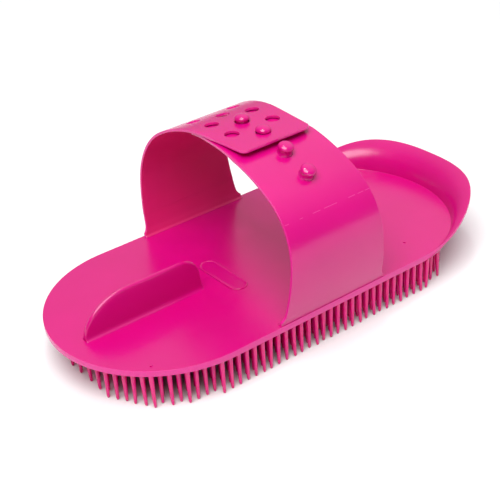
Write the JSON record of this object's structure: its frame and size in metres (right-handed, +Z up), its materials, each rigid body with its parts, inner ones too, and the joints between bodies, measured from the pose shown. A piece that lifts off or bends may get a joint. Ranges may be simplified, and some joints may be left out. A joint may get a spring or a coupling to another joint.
{
  "type": "curry comb",
  "caption": "Flexible plastic curry comb: oval deck with a cupped end, thumb rib, tapered bristles and an adjustable, button-fastened hand strap.",
  "frame": {"origin": "under the middle of the outer box, on the surface that the bristle tips stand on", "axes": "+X along the comb towards its cupped end, +Y towards the strap leaf that carries the perforated tab, +Z up out of the deck"},
  "size_m": [0.19, 0.0988, 0.0773],
  "materials": {
    "pink_plastic": "soft satin, slightly translucent moulded polyethylene"
  },
  "bodies": {
    "comb_body": {"deck_floor": "pink_plastic", "cup_wall": "pink_plastic", "thumb_rib": "pink_plastic", "blank_badge": "pink_plastic", "gate_nubs": "pink_plastic", "far_hinge_web": "pink_plastic", "near_hinge_web": "pink_plastic", "bearing_bristles": "pink_plastic", "bristle_band_1": "pink_plastic", "bristle_band_2": "pink_plastic", "bristle_band_3": "pink_plastic", "bristle_band_4": "pink_plastic", "bristle_band_5": "pink_plastic", "bristle_band_6": "pink_plastic", "bristle_band_7": "pink_plastic"},
    "far_strap": {"far_strap_leaf": "pink_plastic"},
    "tab": {"strap_tab": "pink_plastic"},
    "near_strap": {"near_strap_leaf": "pink_plastic", "stud_1": "pink_plastic", "stud_2": "pink_plastic", "stud_3": "pink_plastic", "stud_4": "pink_plastic"}
  },
  "joints": [
    {"name": "far_strap_hinge", "type": "hinge", "parent": "comb_body", "child": "far_strap", "pos_m": [-0.0025, 0.046, 0.0176], "axis": [-1, 0, 0], "range_deg": [0, 90], "deforming": ["stud_1", "stud_2"]},
    {"name": "near_strap_hinge", "type": "hinge", "parent": "comb_body", "child": "near_strap", "pos_m": [-0.0025, -0.046, 0.0176], "axis": [1, 0, 0], "range_deg": [0, 63], "deforming": ["stud_1", "stud_2"]},
    {"name": "tab_peel", "type": "hinge", "parent": "far_strap", "child": "tab", "pos_m": [-0.0025, 0.0285, 0.06948], "axis": [-1, 0, 0], "range_deg": [0, 60], "deforming": ["stud_1", "stud_2"]}
  ],
  "couplings": [
    {"joint": "near_strap_hinge", "follows": "far_strap_hinge", "ratio": 0.7}
  ]
}
